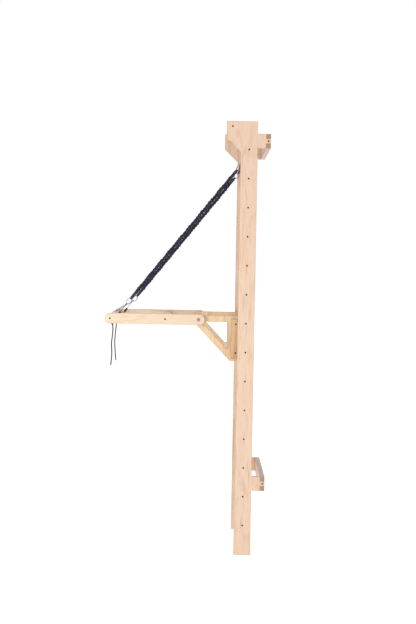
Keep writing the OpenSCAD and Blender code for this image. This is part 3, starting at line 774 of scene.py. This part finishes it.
@dataclass
class BandFrame:
    """Where a band runs: u along it from the top rung's axis, v towards the wall, x across the part."""

    side: Side

    def __post_init__(self) -> None:
        """Reads both rungs' axes and the band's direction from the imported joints."""
        self.top = joint_place(f"band_swing_{self.side.value}")
        self.tip = joint_place(f"cord_swing_{self.side.value}")
        self.down = joint_axis(f"band_stretch_{self.side.value}")
        self.length = float((self.tip - self.top) @ self.down)
        self.across = np.array([1.0, 0.0, 0.0])
        self.to_wall = np.cross(self.across, self.down)

    def put(self, local: np.ndarray) -> np.ndarray:
        """Turns (x, v, u) points in metres into the part's frame."""
        return self.top + self.turn(local)

    def turn(self, local: np.ndarray) -> np.ndarray:
        """Turns (x, v, u) vectors into the part's frame."""
        return local @ np.stack([self.across, self.to_wall, self.down])


@dataclass
class ElasticBand:
    """One band: sling, snap hook, webbing, ruched sleeve, webbing, snap hook, cord loop and whipping."""

    side: Side
    offset: float = 18 * MM
    rung_radius: float = 17.5 * MM
    tackle_top: float = 120.5 * MM
    tackle_bottom: float = 147 * MM
    webbing_show: float = 44 * MM
    hook_run: float = 36 * MM
    wire_radius: float = 2.25 * MM
    sling_radius: float = 4 * MM
    cord_radius: float = 1.5 * MM
    gap: float = 0.3 * MM
    sling_pitch: float = 9 * MM
    cord_pitch: float = 7 * MM
    whipping_start: float = 31 * MM
    whipping_run: float = 26 * MM
    sleeve_core: float = 6.6 * MM
    gather_height: float = 4.2 * MM
    crease_height: float = 0.9 * MM
    cuff_radius: float = 8.4 * MM
    cuff_run: float = 10 * MM
    gather_count: int = 90
    crease_count: int = 260

    def __post_init__(self) -> None:
        """Finds the band's place."""
        self.place = BandFrame(self.side)

    def loop(self, rung_u: float, towards: float, reach: float, radius: float, pitch: float) -> Skin:
        """A rope loop round a rung and through a hook.

        The rope lies round the rung in the band's plane, leaves it on the two lines that touch it and the hook's wire,
        twists a quarter turn on the way, and passes through the hook in a half circle across the part.

        Args:
            rung_u: where the rung's axis is along the band.
            towards: 1 where the hook is further along the band, or -1.
            reach: from the rung's axis to the hook's wire along the band.
            radius: the rope's radius.
            pitch: the length of one repeat of its plait.

        Returns:
            The rope's skin.
        """
        bend = self.rung_radius + radius + self.gap
        bight = self.wire_radius + radius + self.gap
        hook = np.array([0, self.offset, reach])
        tilt = math.atan2(reach, self.offset)
        spread = math.acos(bend / math.hypot(self.offset, reach))
        start, end = tilt - spread, tilt + spread - 2 * np.pi
        wrap = np.linspace(start, end, 64)
        t = np.linspace(0, 1, 22)[1:-1, None]
        arc = np.linspace(np.pi, 0, 18)
        zero, quarter = np.zeros_like(wrap), np.pi / 2 * t[:, 0]
        on_rung = np.stack([zero, bend * np.cos(wrap), bend * np.sin(wrap)], -1)
        in_hook = hook + bight * np.stack([np.cos(arc), 0 * arc, np.sin(arc)], -1)
        route = np.concatenate([
            on_rung, on_rung[-1] + (in_hook[0] - on_rung[-1]) * t,
            in_hook, in_hook[-1] + (on_rung[0] - in_hook[-1]) * t])
        flat = np.zeros(len(t))
        reference = np.concatenate([
            np.tile([1.0, 0, 0], (len(wrap), 1)),
            np.stack([np.cos(quarter), np.sin(quarter), flat], -1),
            np.tile([0.0, 1, 0], (len(arc), 1)),
            np.stack([np.sin(quarter), np.cos(quarter), flat], -1)])
        # corners where a straight strand meets a bend are eased by averaging each point with its neighbours
        for _ in range(6):
            route = (np.roll(route, 1, 0) + 2 * route + np.roll(route, -1, 0)) / 4
        placed = np.stack([route[:, 0], route[:, 1], rung_u + towards * route[:, 2]], -1)
        turned = np.stack([reference[:, 0], reference[:, 1], towards * reference[:, 2]], -1)
        placed, turned = self.place.put(placed), self.place.turn(turned)
        run = np.concatenate([[0], np.cumsum(np.linalg.norm(np.diff(placed, axis=0), axis=1))])
        total = run_length(placed, True)
        repeats = round(total / pitch)
        steps = np.arange(repeats * 7) / (repeats * 7) * total
        around = np.append(run, total)
        route_even = np.stack([np.interp(steps, around, np.append(placed[:, a], placed[0, a])) for a in range(3)], -1)
        lean = np.stack([np.interp(steps, around, np.append(turned[:, a], turned[0, a])) for a in range(3)], -1)
        turn = np.arange(20) / 20
        phase = 2 * np.pi * steps[:, None] / total * repeats
        crossing = plaited(turn, phase)
        radii = radius * (0.97 + 0.05 * crossing)
        # the relief paints shade into the colour between the plait's strands
        return Skin(swept(route_even, lean, round_section(radii), True), repeats, True, 0.5 + 0.5 * crossing)

    def sling(self) -> None:
        """Makes the sling on the top rung, 8 mm braided rope."""
        skin = self.loop(0.0, 1, self.tackle_top - self.hook_run, self.sling_radius, self.sling_pitch)
        hand_over(skin.make(f"sling_{self.side.value}"), SLING_BRAID, "braided_cord", f"band_upper_{self.side.value}",
                  f"top_sling_{self.side.value}")

    def cord_loop(self) -> None:
        """Makes the loop on the tip rung, 3 mm braided cord."""
        skin = self.loop(self.place.length, -1, self.tackle_bottom - self.hook_run, self.cord_radius, self.cord_pitch)
        hand_over(skin.make(f"rung_cord_{self.side.value}"), CORD_BRAID, "braided_cord", f"cord_{self.side.value}",
                  f"cord_loop_{self.side.value}")

    def whipping(self) -> None:
        """Makes the whipping on the loop's back strand: thread wound side by side.

        Its radius swells from 3.4 to 5.2 mm and back, plus a half-round of 0.4 mm for each turn of thread, which
        climbs one turn for each turn round the strand.
        """
        reach = self.tackle_bottom - self.hook_run
        bend = self.rung_radius + self.cord_radius + self.gap
        tilt = math.atan2(reach, self.offset)
        back = tilt - math.acos(bend / math.hypot(self.offset, reach))
        foot = bend * np.array([0, math.cos(back), math.sin(back)])
        head = np.array([self.wire_radius + self.cord_radius + self.gap, self.offset, reach])
        along = unit(head - foot)
        run = np.linspace(0, self.whipping_run, 113)
        route = foot + along * (self.whipping_start + run[:, None])
        route = np.stack([route[:, 0], route[:, 1], self.place.length - route[:, 2]], -1)
        turn = np.arange(24) / 24
        share = run[:, None] / run[-1]
        swell = 3.4 * MM + 1.8 * MM * np.clip(4.5 * np.minimum(share, 1 - share), 0, 1) ** 0.6
        thread = np.abs(np.sin(np.pi * (run[:, None] / (1.6 * MM) + turn)))
        # the relief paints shade into the colour between the turns of thread
        skin = Skin(swept(self.place.put(route), np.tile(self.place.to_wall, (len(run), 1)),
                          round_section(swell + 0.4 * MM * thread)), 16, relief=thread)
        hand_over(skin.make(f"whipping_{self.side.value}"), WAXED_THREAD, "braided_cord", f"cord_{self.side.value}",
                  f"cord_whipping_{self.side.value}")

    def webbing(self, end: str, wire_u: float, towards: float) -> None:
        """Makes one end's webbing: a strap folded round the hook's eye, both layers together up to the sleeve.

        The strap's line runs in beside itself, round the eye's wire in most of a circle, and back. Its section is a
        rounded oblong, each coordinate a cosine or sine to the power 0.4, which widens from 10 to 16 mm past the eye.

        Args:
            end: upper or lower.
            wire_u: where the eye's wire is along the band.
            towards: 1 where the sleeve is further along the band, or -1.
        """
        bend, layer, into = 4.75 * MM, 1.25 * MM, 6 * MM
        far = self.webbing_show + into
        angle = np.radians(np.linspace(155, 385, 15))
        line = np.concatenate([
            [[-layer, far], [-layer, far * 0.72], [-layer, 20 * MM], [-layer - 0.2 * MM, 14 * MM], [-2.7 * MM, 9 * MM]],
            np.stack([bend * np.cos(angle), bend * np.sin(angle)], -1),
            [[2.7 * MM, 9 * MM], [layer + 0.2 * MM, 14 * MM], [layer, 20 * MM], [layer, far * 0.72], [layer, far]]])
        flat = np.stack([line[:, 0], np.full(len(line), self.offset), line[:, 1]], -1)
        route = smooth_route(flat, 0.9 * MM)
        up = route[:, 2]
        width = 5 * MM + 3 * MM * ease((up - 1 * MM) / (6 * MM))
        half = 1.0 * MM + 0.2 * MM * ease((up - 8 * MM) / (8 * MM))
        turn = 2 * np.pi * (np.arange(28) + 0.5) / 28
        oblong = np.stack([np.sign(np.cos(turn)) * np.abs(np.cos(turn)) ** 0.4,
                           np.sign(np.sin(turn)) * np.abs(np.sin(turn)) ** 0.4], -1)
        section = oblong[None] * np.stack([width, half], -1)[:, None]
        local = np.stack([route[:, 0], route[:, 1], wire_u + towards * up], -1)
        reference = np.tile(self.place.to_wall, (len(route), 1))
        repeats = round(run_length(route) / (2.2 * MM))
        phase = 2 * np.pi * np.linspace(0, repeats, len(route))[:, None]
        # the rib's relief paints shade into the colour between the webbing's ribs
        rib = np.sin(phase) * np.cos(8 * turn)
        skin = Skin(swept(self.place.put(local), reference, section), repeats, relief=0.5 + 0.3 * rib)
        hand_over(skin.make(f"webbing_{end}_{self.side.value}"), WEBBING_CLOTH, "webbing",
                  f"band_{end}_{self.side.value}", f"{end}_webbing_{self.side.value}")

    def sleeve(self) -> None:
        """Makes the ruched sleeve over the elastic cords.

        Its radius is a core, plus the gathers' height times the size of a sine, to the power 0.8, of how many gathers
        lie between the end and the point, times a strength that wanders between 0.32 and 1, plus the same for the finer
        creases, which are weaker in the folds. Gathers are 13 to 24 mm apart and creases 4 to 7 mm, and both wander
        round the sleeve. Over the cuff's run it draws in to the webbing.
        """
        chance = np.random.default_rng({Side.LEFT: 11, Side.RIGHT: 23}[self.side])
        begin = self.tackle_top + self.webbing_show
        length = self.place.length - self.tackle_bottom - self.webbing_show - begin
        run = np.linspace(0, length, round(length / (1.25 * MM)))[:, None]
        turn = 2 * np.pi * np.arange(44) / 44
        slow = sum(chance.uniform(0.3, 1) * np.sin(2 * np.pi * run / chance.uniform(60 * MM, 260 * MM)
                                                    + chance.uniform(0, 6.3)) for _ in range(4)) / 3
        gathers = np.cumsum(chance.uniform(13 * MM, 24 * MM, self.gather_count)) - 30 * MM
        creases = np.cumsum(chance.uniform(4 * MM, 7 * MM, self.crease_count)) - 30 * MM
        wander = 3.2 * MM * np.sin(turn + 3 * slow) + 2.2 * MM * np.sin(2 * turn + run / (31 * MM)) \
            + 1.2 * MM * np.sin(3 * turn - run / (23 * MM))
        fine_wander = 1.8 * MM * np.sin(turn - run / (17 * MM)) + 1.4 * MM * np.sin(3 * turn + run / (29 * MM))
        gather = np.abs(np.sin(np.pi * np.interp(run + wander, gathers, np.arange(float(self.gather_count))))) ** 0.8
        crossed = np.interp(run + fine_wander, creases, np.arange(float(self.crease_count)))
        crease = np.abs(np.sin(np.pi * crossed)) ** 0.8
        strength = 0.66 + 0.34 * np.sin(2 * np.pi * run / (83 * MM) + 2 * slow + 1.3 * np.sin(turn))
        radii = self.sleeve_core + self.gather_height * strength * gather \
            + self.crease_height * crease * (0.4 + 0.6 * gather)
        cuff = ease(np.minimum(run, length - run) / self.cuff_run)
        radii = self.cuff_radius + (radii - self.cuff_radius) * cuff
        lean = 0.7 * MM * cuff * np.concatenate([slow, np.roll(slow, 97, 0)], 1)
        local = np.concatenate([lean[:, :1], self.offset + lean[:, 1:], begin + run], 1)
        reference = np.tile([1.0, 0, 0], (len(run), 1))
        # the relief paints shade into the sleeve's colour in its folds and highlight on the crests of its gathers
        relief = np.clip(0.75 * gather * strength + 0.35 * crease - 0.05, 0, 1)
        skin = Skin(swept(self.place.put(local), reference, round_section(radii)), round(length / (5 * MM)),
                    relief=relief)
        piece = skin.make(f"sleeve_{self.side.value}")
        hand_over(piece, SLEEVE_CLOTH, "ruched_sleeve", None, f"elastic_sleeve_{self.side.value}")
        ends = self.place.put(np.array([[0, self.offset, begin], [0, self.offset, begin + length]]))
        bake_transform(piece)

    def build(self) -> None:
        """Makes the band's soft pieces and dresses its steel ones."""
        self.sling()
        self.webbing("upper", self.tackle_top, 1)
        self.sleeve()
        self.webbing("lower", self.place.length - self.tackle_bottom, -1)
        self.cord_loop()
        self.whipping()
        for end in ("top", "bottom"):
            dress_node(f"{end}_hook_{self.side.value}", ZINC_STEEL)
            dress_node(f"{end}_hook_gate_{self.side.value}", ZINC_STEEL)


# ---- Wood and fixings ----


@dataclass
class WallBars:
    """The fixed ladder: panels, rungs, planks and their screws."""

    rungs: int = 14

    def build(self) -> None:
        """Dresses every piece of the ladder."""
        for side in Side:
            dress_node(f"side_panel_{side.value}", PANEL_PLY)
        for number in range(1, self.rungs + 1):
            dress_node(f"rung_{number:02d}", DOWEL)
        dress_node("pull_up_rung", DOWEL)
        for plank in ("wall_plank_upper", "wall_plank_lower"):
            dress_node(plank, PLANK_PLY)
        for screws in ("rung_screws", "plank_screws"):
            dress_node(screws, BLACK_SCREW)


@dataclass
class Bracket:
    """The triangular bracket that hangs on two rungs, with the pivot hardware."""

    def build(self) -> None:
        """Dresses every piece of the bracket."""
        for side in Side:
            dress_node(f"bracket_plate_{side.value}", BRACKET_PLY)
            dress_node(f"bracket_hook_{side.value}", HOOK_PLY)
        for rail in ("bracket_rail_upper", "bracket_rail_lower"):
            dress_node(rail, DOWEL)
        dress_node("bracket_screws", BLACK_SCREW)
        for part in ("pivot_bolts", "pivot_spacers", "pivot_washers", "pivot_nuts"):
            dress_node(part, ZINC_STEEL)


@dataclass
class Lever:
    """The hinged lever frame."""

    def build(self) -> None:
        """Dresses every piece of the lever."""
        for side in Side:
            dress_node(f"lever_bar_{side.value}", LEVER_PLY)
        for rung in ("lever_tip_rung", "lever_middle_rung"):
            dress_node(rung, DOWEL)
        dress_node("lever_screws", BLACK_SCREW)


def main() -> None:
    """Builds the scene: camera and cords first, then every sub-assembly, then the studio."""
    logging.basicConfig(level=logging.INFO, format="%(name)s %(message)s")
    packed_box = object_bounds()
    studio = Studio(floor=packed_box[0][2])
    studio.camera()
    tails = [
        CordTail(Side.RIGHT, [[10, 0], [12, 14], [13, 30], [12, 50], [10, 70], [8, 90], [7, 108], [8, 126], [9, 144],
                              [9, 162], [8, 180], [6, 198], [5, 218]]),
        CordTail(Side.LEFT, [[-8, 0], [-9, 14], [-10, 30], [-11, 48], [-13, 66], [-15, 84], [-16, 102], [-17, 120],
                             [-17, 138], [-16, 156], [-15, 174], [-13, 192], [-11, 214], [-9, 236]]),
    ]
    for tail in tails:
        tail.tail()
    for side in Side:
        ElasticBand(side).build()
    WallBars().build()
    Bracket().build()
    Lever().build()
    studio.lights()
    studio.ground()
    LOG.info("sizes written")


if __name__ == "__main__":
    main()
